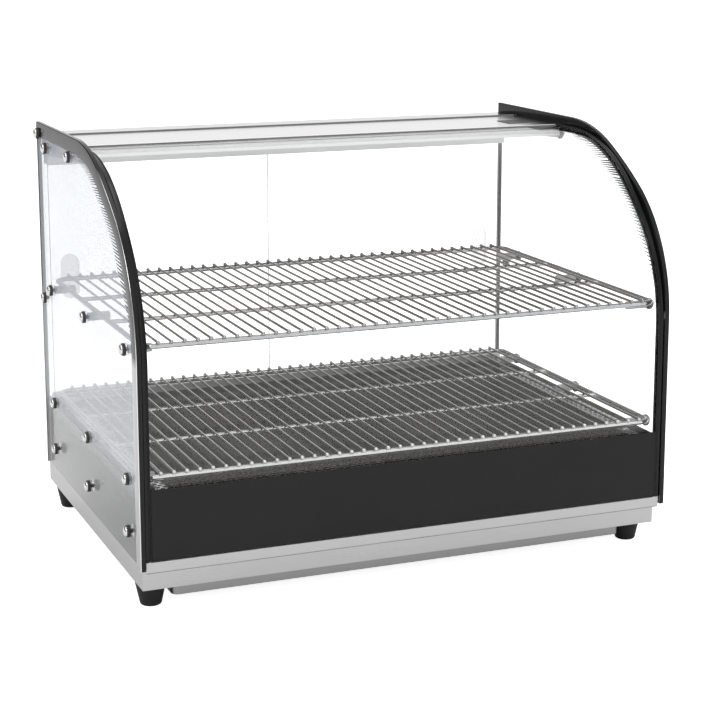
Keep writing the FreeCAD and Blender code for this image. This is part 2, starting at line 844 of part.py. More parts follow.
def canopy_liner():
    """Sloping reflector under the top covers, with a window for the lamp."""
    front = "fascia_front + sheet + fit_gap"
    sloped = extrusion([
        (front, "liner_front_level"), (front, "liner_front_level + sheet"),
        ("liner_rear", "liner_rear_level + sheet"), ("liner_rear", "liner_rear_level"),
    ], "-liner_half", "2 * liner_half")
    window = box(
        "-(lamp_half + overshoot)", "lamp_y - lamp_window / 2", "liner_rear_level - sheet",
        "2 * (lamp_half + overshoot)", "lamp_window", "lamp_window_tall",
    )
    node(cut(sloped, window), "canopy_liner")


def canopy_end(side):
    """End plate of the canopy, screwed through the side glass."""
    start, thick = span(side, "liner_half + 2 * fit_gap", "liner_half + 2 * fit_gap + sheet")
    front = "cover_front + sheet + fit_gap"
    level = "pane_top - sheet - fit_gap"
    wall = extrusion([
        (front, "end_front_level"), (front, level), ("liner_rear", level),
        ("liner_rear", "liner_rear_level"),
    ], start, thick)
    node(cut(wall, *screw_holes(start, CANOPY_SCREWS)), f"canopy_end_{side}")


def lamp():
    """Lamp tube over the window, in a holder at each end."""
    node(rod("X", "-lamp_half", "lamp_y", "lamp_level", "lamp_radius", "2 * lamp_half"), "lamp_tube")
    for side in SIDES:
        inner, outer = "lamp_half - lamp_pin", "lamp_half + lamp_holder_long - lamp_pin"
        start, length = span(side, inner, outer)
        block = box(
            start, "lamp_y - lamp_holder_wide / 2", "lamp_holder_base", length,
            "lamp_holder_wide", "lamp_holder_tall",
        )
        seat_start, _ = span(side, "0", "lamp_half")
        socket = rod("X", seat_start, "lamp_y", "lamp_level", "lamp_radius + fit_gap / 2", "lamp_half")
        node(cut(block, socket), f"lamp_holder_{side}")


# ---------------------------------------------------------------- rear doors


def track(label, groove_floor, mouth, back, half):
    """Aluminium track with two grooves, open at the mouth."""
    points = [("track_front", back), ("track_front", mouth)]
    y = "track_front"
    for _ in range(2):
        near, far = f"{y} + track_wall", f"{y} + track_wall + track_groove"
        points += [(near, mouth), (near, groove_floor), (far, groove_floor), (far, mouth)]
        y = far
    points += [(f"{y} + track_wall", mouth), (f"{y} + track_wall", back)]
    node(extrusion(points, f"-({half})", f"2 * ({half})"), label)


def door(side, lane):
    """Glass door in one lane of the tracks, with a finger pull stuck to its rear face."""
    front = f"track_front + track_wall + door_play + {lane} * (track_wall + track_groove)"
    inner, outer = "-door_overlap", "door_outer_edge"
    start, wide = span(side, inner, outer)
    glass = box(start, front, "door_base", wide, "door_thick", "door_top - door_base")
    node(glass, f"door_{side}_glass")

    sign = "-" if side == "left" else ""
    x, face = f"{sign}(door_outer_edge - pull_inset)", f"{front} + door_thick"

    def stadium(inset, from_face, thick):
        radius, base = f"pull_radius - {inset}", f"{face} + {from_face}"
        low, high = "pull_level - pull_straight / 2", "pull_level + pull_straight / 2"
        middle = box(f"{x} - ({radius})", base, low, f"2 * ({radius})", thick, "pull_straight")
        ends = [rod("Y", x, base, z, radius, thick) for z in (low, high)]
        return fuse(middle, *ends)

    rim = stadium("0", "0", "pull_thick")
    recess = stadium("pull_border", "pull_floor", "pull_thick")
    node(cut(rim, recess), f"door_{side}_pull")


# ---------------------------------------------------------------- racks


def corner(x, y, level, turn):
    """Quarter ring of rack rod, centred on a point."""
    item = doc.addObject("Part::Torus", "corner")
    item.Placement = Placement(Vector(), Rotation(AXES["Z"], turn))
    item.Angle3 = 90
    item.setExpression("Radius1", cells("rack_corner"))
    item.setExpression("Radius2", cells("rack_rod_radius"))
    for name, value in (("x", x), ("y", y), ("z", level)):
        item.setExpression(f"Placement.Base.{name}", cells(value))
    return item


def rack(label, peg_level):
    """Welded wire rack: a round-cornered rod frame, two cross bars and wires laid on top."""
    level = f"{peg_level} + peg_radius + rack_rod_radius + rack_lift_gap"
    near, far = "rack_front + rack_corner", "rack_rear - rack_corner"
    reach = "rack_half - rack_corner"
    long_y = "rack_rear - rack_front"
    pieces = [
        rod("X", f"-({reach})", y, level, "rack_rod_radius", f"2 * ({reach})")
        for y in ("rack_front", "rack_rear")
    ]
    pieces += [
        rod("Y", x, near, level, "rack_rod_radius", f"{far} - ({near})")
        for x in ("-rack_half", "rack_half")
    ]
    pieces += [
        corner(reach, far, level, 0),
        corner(f"-({reach})", far, level, 90),
        corner(f"-({reach})", near, level, 180),
        corner(reach, near, level, 270),
    ]
    wire_level = f"{level} + rack_rod_radius + rack_wire_radius - rack_weld"
    bar_level = f"{wire_level} - rack_wire_radius - rack_bar_radius + rack_weld"
    for third in (1, 2):
        y = f"rack_front + {third} * ({long_y}) / 3"
        pieces.append(rod("X", "-rack_half", y, bar_level, "rack_bar_radius", "2 * rack_half"))
    wires = int(size["rack_wires"])
    for i in range(wires):
        x = f"({i} - {(wires - 1) / 2}) * rack_wire_pitch"
        start, length = "rack_front - rack_wire_over", f"{long_y} + 2 * rack_wire_over"
        pieces.append(rod("Y", x, start, wire_level, "rack_wire_radius", length))
    node(fuse(*pieces), label)


def rack_pegs():
    """Pegs on the side screws that carry the racks, each with a blind bore."""
    pegs = []
    for side in SIDES:
        start, length = span(side, "peg_inner", GLASS_BACK)
        bore_start, bore_long = span(side, "peg_inner + peg_cap", GLASS_BACK)
        for y, z in PEGS:
            peg = rod("X", start, y, z, "peg_radius", length)
            pegs.append(cut(peg, rod("X", bore_start, y, z, "peg_bore_radius", bore_long)))
    node(group(*pegs), "rack_pegs")


# ---------------------------------------------------------------- side screws


def side_screws():
    """Domed screws and black washers on the outside of both side glasses."""
    screws, washers = [], []
    kinds = [
        (PEGS, GLASS_FACE, "peg_screw_reach"),
        (BASE_SCREWS + CANOPY_SCREWS, GLASS_FACE, "short_screw_reach"),
        (SEAL_SCREWS, GLASS_FACE, "side_glass_thick + edging_sheet"),
        (EDGING_SCREWS, "case_half", "side_glass_thick + 2 * edging_sheet"),
    ]
    for side, sign in SIDES.items():
        for places, face, reach in kinds:
            seat = f"{face} + washer_thick"
            start, length = span(side, f"{face} - {reach}", seat)
            ring_start, ring_thick = span(side, face, seat)
            for y, z in places:
                shank = rod("X", start, y, z, "screw_radius", length)
                screws.append(fuse(shank, screw_head(sign, seat, y, z)))
                ring = rod("X", ring_start, y, z, "washer_radius", ring_thick)
                washers.append(cut(ring, rod("X", ring_start, y, z, "screw_hole_radius", ring_thick)))
    node(group(*screws), "side_screws")
    node(group(*washers), "side_washers")


def screw_head(sign, seat, y, z):
    """Tapered head that stands out from its seat, away from the middle of the case."""
    item = doc.addObject("Part::Cone", "head")
    item.Placement = Placement(Vector(), Rotation(AXES["Z"], AXES["X"] * sign))
    item.setExpression("Radius1", cells("screw_head_radius"))
    item.setExpression("Radius2", cells("screw_crown_radius"))
    item.setExpression("Height", cells("screw_head_tall"))
    for name, value in (("x", f"{sign} * ({seat})"), ("y", y), ("z", z)):
        item.setExpression(f"Placement.Base.{name}", cells(value))
    return item


def side_spacers():
    """Short sleeves that keep the side glasses off the heater box."""
    sleeves = []
    for side in SIDES:
        start, length = span(side, "chassis_half + fit_gap", f"{GLASS_BACK} - fit_gap")
        for y, z in BASE_SCREWS:
            sleeve = rod("X", start, y, z, "washer_radius", length)
            sleeves.append(cut(sleeve, rod("X", start, y, z, "screw_hole_radius", length)))
    node(group(*sleeves), "side_spacers")


# ---------------------------------------------------------------- heater and controls


def half_turn(x, y, turn):
    """Half ring of heater tube, centred on a point."""
    item = doc.addObject("Part::Torus", "half_turn")
    item.Placement = Placement(Vector(), Rotation(AXES["Z"], turn))
    item.Angle3 = 180
    item.setExpression("Radius1", cells("heater_bend"))
    item.setExpression("Radius2", cells("heater_radius"))
    for name, value in (("x", x), ("y", y), ("z", "heater_level")):
        item.setExpression(f"Placement.Base.{name}", cells(value))
    return item


def heater():
    """Tubular heater in four runs below the deck, on two steel saddles."""
    runs = [
        rod("X", "-heater_half", f"heater_front + {2 * i} * heater_bend", "heater_level",
            "heater_radius", "2 * heater_half")
        for i in range(4)
    ]
    for i, (x, turn) in enumerate((("heater_half", -90), ("-heater_half", 90), ("heater_half", -90))):
        runs.append(half_turn(x, f"heater_front + {2 * i + 1} * heater_bend", turn))
    node(fuse(*runs), "heating_element")

    saddles = []
    floor, top = "foot_tall + frame_sheet", "heater_level - heater_radius"
    for x in ("-saddle_x", "saddle_x"):
        left = f"{x} - saddle_wide / 2"
        long_y = "6 * heater_bend + saddle_wide"
        block = box(
            left, "heater_front - saddle_wide / 2", floor, "saddle_wide", long_y, f"{top} - ({floor})"
        )
        hollow = box(
            f"{left} + sheet", "heater_front - saddle_wide / 2 - overshoot", floor,
            "saddle_wide - 2 * sheet", f"{long_y} + 2 * overshoot", f"{top} - sheet - ({floor})",
        )
        saddles.append(cut(block, hollow))
    node(group(*saddles), "heater_saddles")


def thermostat():
    """Thermostat behind the rear panel, with its shaft and knob."""
    behind = f"{PANEL_OUT} - sheet - fit_gap"
    block = box(
        "knob_x - thermostat_half", f"{behind} - thermostat_deep", "control_level - thermostat_half",
        "2 * thermostat_half", "thermostat_deep", "2 * thermostat_half",
    )
    shaft_start = f"{behind} - thermostat_deep / 2"
    bore = rod(
        "Y", "knob_x", shaft_start, "control_level", "shaft_radius + fit_gap / 2", "thermostat_deep"
    )
    node(cut(block, bore), "thermostat_body")

    blind_end = "knob_face - knob_cap"
    node(rod("Y", "knob_x", f"{shaft_start} + shaft_play", "control_level", "shaft_radius",
             f"{blind_end} - ({shaft_start}) - shaft_play"), "thermostat_shaft")
    base = "knob_face - knob_tall"
    skirt = rod("Y", "knob_x", base, "control_level", "knob_radius", "knob_skirt")
    grip = rod("Y", "knob_x", base, "control_level", "knob_grip_radius", "knob_tall")
    bar = box(
        "knob_x - knob_bar / 2", base, "control_level - knob_radius + knob_bar", "knob_bar",
        "knob_tall", "2 * (knob_radius - knob_bar)",
    )
    socket = rod(
        "Y", "knob_x", base, "control_level", "shaft_radius + fit_gap / 2", f"{blind_end} - ({base})"
    )
    node(cut(fuse(skirt, grip, bar), socket), "thermostat_knob")


def switch(label, x):
    """Rocker switch: a housing with a bezel, and a rocker on two small pins."""
    deep = f"{PANEL_OUT} - switch_deep"
    shell = box(
        f"{x} - switch_half", deep, "control_level - switch_half_tall",
        "2 * switch_half", "switch_deep", "2 * switch_half_tall",
    )
    bezel = box(
        f"{x} - switch_half - bezel_border", PANEL_OUT,
        "control_level - switch_half_tall - bezel_border", "2 * (switch_half + bezel_border)",
        "bezel_thick", "2 * (switch_half_tall + bezel_border)",
    )
    recess = box(
        f"{x} - rocker_recess_half", "rocker_floor", "control_level - rocker_recess_tall",
        "2 * rocker_recess_half", "rocker_recess_long", "2 * rocker_recess_tall",
    )
    pin_reach = "rocker_recess_half + rocker_pin_in"
    pin_holes = rod(
        "X", f"{x} - ({pin_reach}) - 2 * fit_gap", "rocker_axis_y", "control_level",
        "rocker_pin_radius + fit_gap / 2", f"2 * ({pin_reach} + 2 * fit_gap)",
    )
    node(cut(fuse(shell, bezel), recess, pin_holes), f"{label}_switch_body")

    tilt = math.radians(size["rocker_tilt"])
    points = []
    for out, up in ROCKER_PROFILE:
        y = out * math.cos(tilt) - up * math.sin(tilt)
        z = out * math.sin(tilt) + up * math.cos(tilt)
        points.append((f"rocker_axis_y + ({y:.4f})", f"control_level + ({z:.4f})"))
    paddle = extrusion(points, f"{x} - rocker_half", "2 * rocker_half")
    pin = rod(
        "X", f"{x} - ({pin_reach})", "rocker_axis_y", "control_level", "rocker_pin_radius",
        f"2 * ({pin_reach})",
    )
    node(fuse(paddle, pin), f"{label}_rocker")


def pilot_lamp():
    behind = f"{PANEL_OUT} - sheet - pilot_deep"
    barrel = rod("Y", "pilot_x", behind, "control_level", "pilot_radius", "sheet + pilot_deep")
    ring = rod("Y", "pilot_x", PANEL_OUT, "control_level", "pilot_radius + bezel_thick", "bezel_thick")
    lens = rod("Y", "pilot_x", PANEL_OUT, "control_level", "pilot_radius - rim_step", "2 * bezel_thick")
    node(fuse(barrel, ring, lens), "pilot_lamp")


def cord_gland():
    """Cable gland for the mains lead, with its bore open from end to end."""
    inside = f"{PANEL_OUT} - sheet - gland_thread"
    thread = rod("Y", "gland_x", inside, "gland_level", "gland_radius", "sheet + gland_thread")
    collar = rod("Y", "gland_x", PANEL_OUT, "gland_level", "gland_radius + gland_flange", "gland_collar")
    nose = rod("Y", "gland_x", PANEL_OUT, "gland_level", "gland_radius - rim_step", "gland_nose")
    length = "sheet + gland_thread + gland_nose"
    bore = rod("Y", "gland_x", inside, "gland_level", "gland_bore_radius", length)
    node(cut(fuse(thread, collar, nose), bore), "cord_gland")


def terminal_block():
    node(box(
        "gland_x - terminal_long / 2", "terminal_y", "foot_tall + frame_sheet",
        "terminal_long", "terminal_wide", "terminal_tall",
    ), "terminal_block")


def build_all():
    base_frame()
    for name, (x, y) in FOOT_PLACES.items():
        foot(name, x, y)
    foot_fixings()
    under_pan()
    rear_panel()
    front_strip()
    front_panel()
    deck()
    for side in SIDES:
        chassis_side(side)
        side_glass(side)
        edge_trim(side)
        rear_seal(side)
        front_channel(side)
        canopy_end(side)
    front_glass()
    top_covers()
    canopy_fascia()
    canopy_liner()
    lamp()
    track("upper_door_track", "upper_track_top - track_wall", "upper_track_base",
          "upper_track_top", "track_half")
    track("lower_door_track", "deck_top + track_wall", "lower_track_top",
          "deck_top", "lower_track_half")
    door("left", 0)
    door("right", 1)
    rack("upper_rack", "upper_peg_level")
    rack("lower_rack", "lower_peg_level")
    rack_pegs()
    side_screws()
    side_spacers()
    heater()
    thermostat()
    switch("power", "power_x")
    switch("light", "light_x")
    pilot_lamp()
    cord_gland()
    terminal_block()


def check_and_export():
    """Stops on any failed object or shape, then writes one STEP file for each sub-part."""
    doc.recompute()
    failed = [
        f"{item.Name} ({item.Label}): {item.State}"
        for item in doc.Objects
        if "Invalid" in item.State or "Error" in item.State
    ]
    for item in nodes:
        if item.Shape.isNull() or not item.Shape.isValid() or not item.Shape.Solids:
            failed.append(f"{item.Label}: its shape is empty or broken")
    if failed:
        raise RuntimeError("\n".join(failed))
    os.makedirs("parts", exist_ok=True)
    for item in nodes:
        item.Shape.exportStep(f"parts/{item.Label}.step")
    box_all = FreeCAD.BoundBox()
    for item in nodes:
        box_all.add(item.Shape.BoundBox)
    print(len(nodes), "sub-parts", box_all)


build_all()
check_and_export()
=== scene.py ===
"""Looks of the hot food display case: materials, finer pieces, light and camera."""

import json
import math

import bmesh
import bpy
from mathutils import Matrix, Vector


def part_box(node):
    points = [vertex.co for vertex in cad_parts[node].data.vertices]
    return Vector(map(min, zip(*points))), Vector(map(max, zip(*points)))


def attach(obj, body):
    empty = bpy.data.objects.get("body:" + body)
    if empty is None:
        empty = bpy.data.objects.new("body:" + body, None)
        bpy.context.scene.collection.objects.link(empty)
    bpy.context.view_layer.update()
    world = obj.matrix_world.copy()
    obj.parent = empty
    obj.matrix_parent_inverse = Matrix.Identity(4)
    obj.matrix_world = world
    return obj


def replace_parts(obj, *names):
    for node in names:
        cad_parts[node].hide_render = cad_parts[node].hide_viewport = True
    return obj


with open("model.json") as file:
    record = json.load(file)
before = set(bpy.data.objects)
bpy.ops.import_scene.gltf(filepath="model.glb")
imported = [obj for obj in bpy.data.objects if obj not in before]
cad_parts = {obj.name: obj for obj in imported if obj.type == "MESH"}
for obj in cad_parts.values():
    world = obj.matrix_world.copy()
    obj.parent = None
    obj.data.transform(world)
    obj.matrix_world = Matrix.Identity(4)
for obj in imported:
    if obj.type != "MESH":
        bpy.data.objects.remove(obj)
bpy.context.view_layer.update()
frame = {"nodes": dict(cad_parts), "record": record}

nodes = frame["nodes"]
scene = bpy.context.scene
MM = 0.001
SIDES = {"left": -1, "right": 1}

# Sizes that the model and this script share, in millimetres
FRONT, TOP, REAR, BASE = -244, 504, 216, 56
PANEL_BENDS = ((225, 27), (600, 7.5), (186, 55.5))
PANE_FRONT, PANE_TOP, PANE_REAR, STRIP_TOP = -240, 491, 31, 66.3
PANE_BENDS = ((212, 39.5), (413, 7.5), (187, 43))
CASE_HALF, GLASS_FACE, GLASS_BACK = 329, 328, 324


def corners(node):
    """The lowest and highest corner of a CAD node at rest, in millimetres."""
    low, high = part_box(node)
    return Vector(low) / MM, Vector(high) / MM


# ---------------------------------------------------------------- small helpers


def add_piece(name, mesh, slot, body="case", sharp=35, material=None):
    """An object of the mesh that rides on a body, smooth except over sharp edges."""
    item = bpy.data.objects.new(name, mesh)
    scene.collection.objects.link(item)
    mesh.polygons.foreach_set("use_smooth", [True] * len(mesh.polygons))
    mesh.set_sharp_from_angle(angle=math.radians(sharp))
    mesh.materials.append(material or MATERIALS[slot])
    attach(item, body)
    return item


def mesh_from(name, build):
    """A mesh in metres from a function that fills a bmesh in millimetres."""
    shape = bmesh.new()
    build(shape)
    bmesh.ops.transform(shape, matrix=Matrix.Scale(MM, 4), verts=shape.verts)
    bmesh.ops.recalc_face_normals(shape, faces=shape.faces)
    mesh = bpy.data.meshes.new(name)
    shape.to_mesh(mesh)
    shape.free()
    return mesh


def loft(shape, rings, caps=True):
    """Faces between closed rings of points, with a cap on each end."""
    rows = [[shape.verts.new(point) for point in ring] for ring in rings]
    count = len(rows[0])
    for one, two in zip(rows, rows[1:]):
        for i in range(count):
            j = (i + 1) % count
            shape.faces.new((one[i], one[j], two[j], two[i]))
    if caps:
        shape.faces.new(rows[0][::-1])
        shape.faces.new(rows[-1])
    return rows


def lathe(shape, place, profile, steps=32):
    """Turns (radius, height) points about the Z axis of a placement matrix."""
    angles = [2 * math.pi * k / steps for k in range(steps)]
    rings = []
    for radius, height in profile:
        ring = [Vector((radius * math.cos(a), radius * math.sin(a), height)) for a in angles]
        rings.append([place @ point for point in ring])
    loft(shape, rings)


def prism(shape, points, axis, low, high):
    """A flat outline of pairs, thickened along an axis from low to high."""
    def at(pair, level):
        values = list(pair)
        values.insert("XYZ".index(axis), level)
        return values
    loft(shape, [[at(pair, level) for pair in points] for level in (low, high)])


def outline(front, top, rear, base, bends, step=2.0):
    """Points and outward normals, as (y, z) pairs, from the rear top to the bottom front."""
    (r1, t1), (r2, t2), (r3, _) = bends
    a1 = math.radians(t1)
    a2 = a1 + math.radians(t2)
    shift = (r1 - r2) * math.sin(a1) + (r2 - r3) * math.sin(a2)
    y, z = front + r3 + shift, top - r1
    path = [((rear, top), (0, 1)), ((y, top), (0, 1))]
    limits = (0, a1, a2, math.pi / 2)
    for i, radius in enumerate((r1, r2, r3)):
        if i:
            out = (-math.sin(limits[i]), math.cos(limits[i]))
            y += out[0] * ((r1, r2)[i - 1] - radius)
            z += out[1] * ((r1, r2)[i - 1] - radius)
        turn = limits[i + 1] - limits[i]
        count = max(2, math.ceil(math.degrees(turn) / step))
        for k in range(1, count + 1):
            a = limits[i] + turn * k / count
            normal = (-math.sin(a), math.cos(a))
            path.append(((y + radius * normal[0], z + radius * normal[1]), normal))
    path.append(((front, base), (-1, 0)))
    return path


def rounded(points, radii, steps=4):
    """A closed polygon with each corner rounded by its own radius."""
    found = []
    for i, radius in enumerate(radii):
        here = Vector(points[i])
        before = (Vector(points[i - 1]) - here).normalized()
        after = (Vector(points[(i + 1) % len(points)]) - here).normalized()
        if not radius:
            found.append(here)
            continue
        start, end = here + before * radius, here + after * radius
        for k in range(steps + 1):
            t = k / steps
            found.append((1 - t) ** 2 * start + 2 * t * (1 - t) * here + t * t * end)
    return found


def sweep(shape, path, profile, sign):
    """Sweeps an (x, inset) profile along an outline path, on one side of the case."""
    rings = []
    for (y, z), (ny, nz) in path:
        rings.append([(sign * x, y - inset * ny, z - inset * nz) for x, inset in profile])
    loft(shape, rings)


# ---------------------------------------------------------------- materials


class Look:
    """A material built from nodes around one Principled shader."""

    def __init__(self, name, **values):
        self.material = bpy.data.materials.new(name)
        self.material.use_nodes = True
        self.tree = self.material.node_tree
        self.shader = self.tree.nodes["Principled BSDF"]
        self.output = self.tree.nodes["Material Output"]
        for key, value in values.items():
            self.shader.inputs[key.replace("_", " ")].default_value = value

    def node(self, kind, properties=None, **inputs):
        item = self.tree.nodes.new(kind)
        for key, value in (properties or {}).items():
            setattr(item, key, value)
        for key, value in inputs.items():
            key = int(key[1:]) if key[0] == "_" else key.replace("_", " ")
            if isinstance(value, bpy.types.NodeSocket):
                self.tree.links.new(value, item.inputs[key])
            else:
                item.inputs[key].default_value = value
        return item

    def link(self, socket, name):
        self.tree.links.new(socket, self.shader.inputs[name.replace("_", " ")])

    def place(self, scale=(1, 1, 1)):
        """Object coordinates, stretched along each axis."""
        coordinates = self.node("ShaderNodeTexCoord").outputs["Object"]
        return self.node("ShaderNodeMapping", Vector=coordinates, Scale=scale).outputs[0]

    def axis(self, index, source="Object"):
        """One axis of the object coordinates or normals; X is the distance from the middle."""
        values = self.node("ShaderNodeTexCoord").outputs[source]
        value = self.node("ShaderNodeSeparateXYZ", Vector=values).outputs[index]
        return value if index else self.math("ABSOLUTE", value)

    def noise(self, scale, detail=3.0, stretch=(1, 1, 1)):
        return self.node(
            "ShaderNodeTexNoise", Vector=self.place(stretch), Scale=scale, Detail=detail
        ).outputs["Fac"]

    def span(self, value, low, high, start=0.3, end=0.7):
        """Moves a value from start..end to low..high."""
        return self.node(
            "ShaderNodeMapRange", Value=value, From_Min=start, From_Max=end, To_Min=low, To_Max=high
        ).outputs[0]

    def blend(self, factor, one, two):
        """A colour between two others."""
        item = self.node("ShaderNodeMix", {"data_type": "RGBA"}, Factor=factor)
        colours = [socket for socket in item.inputs if socket.type == "RGBA"]
        for socket, value in zip(colours, (one, two)):
            if isinstance(value, bpy.types.NodeSocket):
                self.tree.links.new(value, socket)
            else:
                socket.default_value = (*value, 1)
        return item.outputs["Result"]

    def shaded(self, colour, factor, tone, fade=None):
        """A colour that darkens a little with a factor; fade is a second one and its span."""
        def both(base):
            return self.blend(factor, tuple(c * (1 - tone) for c in base), base)
        if not fade:
            return both(colour)
        second, axis, start, end = fade
        return self.blend(self.span(self.axis(axis), 0, 1, start, end), both(colour), both(second))

    def math(self, operation, one, two=0.0):
        return self.node("ShaderNodeMath", {"operation": operation}, _0=one, _1=two).outputs[0]

    def normal(self, height, strength, distance=0.0002, edge=0.0):
        """Bump from a height, over edges rounded by a radius."""
        inputs = {"Height": height, "Strength": strength, "Distance": distance}
        if edge:
            inputs["Normal"] = self.node("ShaderNodeBevel", {"samples": 4}, Radius=edge).outputs[0]
        self.link(self.node("ShaderNodeBump", **inputs).outputs[0], "Normal")


def steel(name, colour, rough=(0.26, 0.36), grain=(9, 900, 900), edge=0.0005, tone=0.03, fade=None,
          bump=0.04, glance=1.0):
    """Stainless sheet with a fine grain along one axis; fade is a second colour and its span."""
    look = Look(name, Metallic=1.0, Specular_Tint=(glance, glance, glance, 1))
    lines = look.noise(1.0, detail=5, stretch=grain)
    smear = look.noise(6.0, detail=4)
    look.link(look.shaded(colour, look.span(lines, 0, 1), tone, fade), "Base Color")
    mixed = look.math("ADD", look.math("MULTIPLY", lines, 0.6), look.math("MULTIPLY", smear, 0.4))
    look.link(look.span(mixed, *rough, 0.35, 0.65), "Roughness")
    look.normal(lines, bump, 0.00003, edge)
    return look.material


def enamel(name, colour, rough, edge=0.0006, peel=0.03, fleck=900, level=0.3):
    """Black coat with a faint orange peel and small changes of gloss."""
    look = Look(name, Specular_IOR_Level=level)
    cloud = look.noise(14.0, detail=3)
    fine = look.noise(fleck, detail=2)
    light = tuple(c * 1.5 for c in colour)
    look.link(look.blend(look.span(cloud, 0, 1), colour, light), "Base Color")
    look.link(look.span(cloud, rough * 0.85, rough * 1.2), "Roughness")
    look.normal(fine, peel, 0.0001, edge)
    return look.material


def edging(name, colour, rough=0.14, flank_reflection_colour=(0.5, 0.5, 0.5),
           corner_highlight_colour=(0.95, 0.95, 0.95), level=0.29, corner=0.472):
    """Gloss black edging; its outer corner carries a painted highlight, and its side flanks carry a
    painted silver reflection below a level in metres.
    """
    look = Look(name)
    cloud = look.noise(30.0, detail=3)
    sideways = look.axis(0, "Normal")
    # Painted reflection: the sideways flanks below the level get a silver metal colour that stands
    # in for reflected light.
    flank = look.math("GREATER_THAN", sideways, 0.93)
    low = look.span(look.axis(2), 1, 0, level - 0.006, level + 0.006)
    # Painted highlight: a thin near-white metal line along the outer corner, below the corner
    # height, stands in for a glint.
    turned = look.math("GREATER_THAN", sideways, 0.3)
    outer = look.math("GREATER_THAN", look.axis(0), (CASE_HALF - 1.5) * MM)
    corner_highlight = look.math("MULTIPLY", turned, outer)
    corner_highlight = look.math("MULTIPLY", corner_highlight, look.math("SUBTRACT", 1.0, flank))
    below = look.span(look.axis(2), 1, 0, corner - 0.01, corner + 0.01)
    corner_highlight = look.math("MULTIPLY", corner_highlight, below)
    # Painted shine: the flank reflection and the corner highlight together set the colour and the
    # metal.
    painted_shine = look.math("ADD", look.math("MULTIPLY", flank, low), corner_highlight)
    black = look.blend(look.span(cloud, 0, 1), colour, tuple(c * 1.5 for c in colour))
    shine_colour = look.blend(corner_highlight, flank_reflection_colour, corner_highlight_colour)
    look.link(look.blend(painted_shine, black, shine_colour), "Base Color")
    look.link(painted_shine, "Metallic")
    look.link(look.span(look.axis(2), 0.3, 0.2, 0.36, 0.47), "Specular IOR Level")
    look.link(look.span(cloud, rough * 0.8, rough * 1.3), "Roughness")
    look.normal(look.noise(900, detail=2), 0.03, 0.0001)
    return look.material


def plastic(name, colour, rough=0.4, edge=0.0004, fade=None, **values):
    """Moulded plastic or rubber with a fine skin; fade is a second colour and its span."""
    look = Look(name, **values)
    cloud = look.noise(22.0, detail=3)
    skin = look.noise(1500.0, detail=2)
    look.link(look.shaded(colour, look.span(cloud, 0, 1), 0.18, fade), "Base Color")
    look.link(look.span(cloud, rough * 0.9, rough * 1.15), "Roughness")
    look.normal(skin, 0.15, 0.0001, edge)
    return look.material


def chrome(name, colour=(0.86, 0.86, 0.87), rough=0.07, fade=None):
    """Bright plating with slightly dull patches; fade is a second colour and its span."""
    look = Look(name, Metallic=1.0)
    cloud = look.noise(60.0, detail=3)
    look.link(look.shaded(colour, look.span(cloud, 0, 1), 0.12, fade), "Base Color")
    look.link(look.span(cloud, rough, rough * 2.2), "Roughness")
    look.normal(look.noise(400.0, detail=2), 0.05, 0.00005)
    return look.material


def glass(name, across, head_on=0.03, glance=1.0, reflection_haze=0.0, high=(0.46, 0.5, 0.57),
          low=(0.68, 0.71, 0.76), rim_colour=(0.34, 0.37, 0.365)):
    """Clear pane: across is the axis that its faces look along; a thin diffuse layer above the deck
    is a painted reflection.
    """
    look = Look(name, Roughness=0.15, Base_Color=(*rim_colour, 1), Specular_IOR_Level=0.4)
    facing = look.node("ShaderNodeLayerWeight", Blend=0.5).outputs["Facing"]
    steep = look.math("POWER", facing, 5.0)
    smudge = look.span(look.noise(5.0, detail=4), 0.93, 1.07)
    mirror = look.math("ADD", look.math("MULTIPLY", steep, glance), head_on)
    mirror = look.math("MULTIPLY", mirror, smudge)
    clear = look.node("ShaderNodeBsdfTransparent", Color=(0.986, 0.989, 0.989, 1)).outputs[0]
    if reflection_haze:
        # Painted reflection: a whitish-blue diffuse layer above the deck stands in for light
        # reflected on the pane; it is whiter below about 0.27 m.
        whiten = look.span(look.axis(2), 1, 0, 0.24, 0.3)
        painted_reflection_shader = look.node("ShaderNodeBsdfDiffuse", Color=look.blend(whiten, high, low)).outputs[0]
        above = look.span(look.axis(2), 0, reflection_haze, 0.13, 0.16)
        amount = look.math("MULTIPLY", above, smudge)
        clear = look.node("ShaderNodeMixShader", _0=amount, _1=clear, _2=painted_reflection_shader).outputs[0]
    shine = look.node("ShaderNodeBsdfGlossy", Color=(1, 1, 1, 1), Roughness=0.02).outputs[0]
    pane = look.node("ShaderNodeMixShader", _0=mirror, _1=clear, _2=shine).outputs[0]
    if across == "curve":
        rim = look.math("GREATER_THAN", look.axis(0, "Normal"), 0.5)
    else:
        rim = look.math("LESS_THAN", look.math("ABSOLUTE", look.axis(across, "Normal")), 0.5)
    outside = look.math("SUBTRACT", 1.0, look.node("ShaderNodeNewGeometry").outputs["Backfacing"])
    rim = look.math("MULTIPLY", rim, outside)
    whole = look.node("ShaderNodeMixShader", _0=rim, _1=pane, _2=look.shader.outputs[0]).outputs[0]
    look.tree.links.new(whole, look.output.inputs["Surface"])
    return look.material


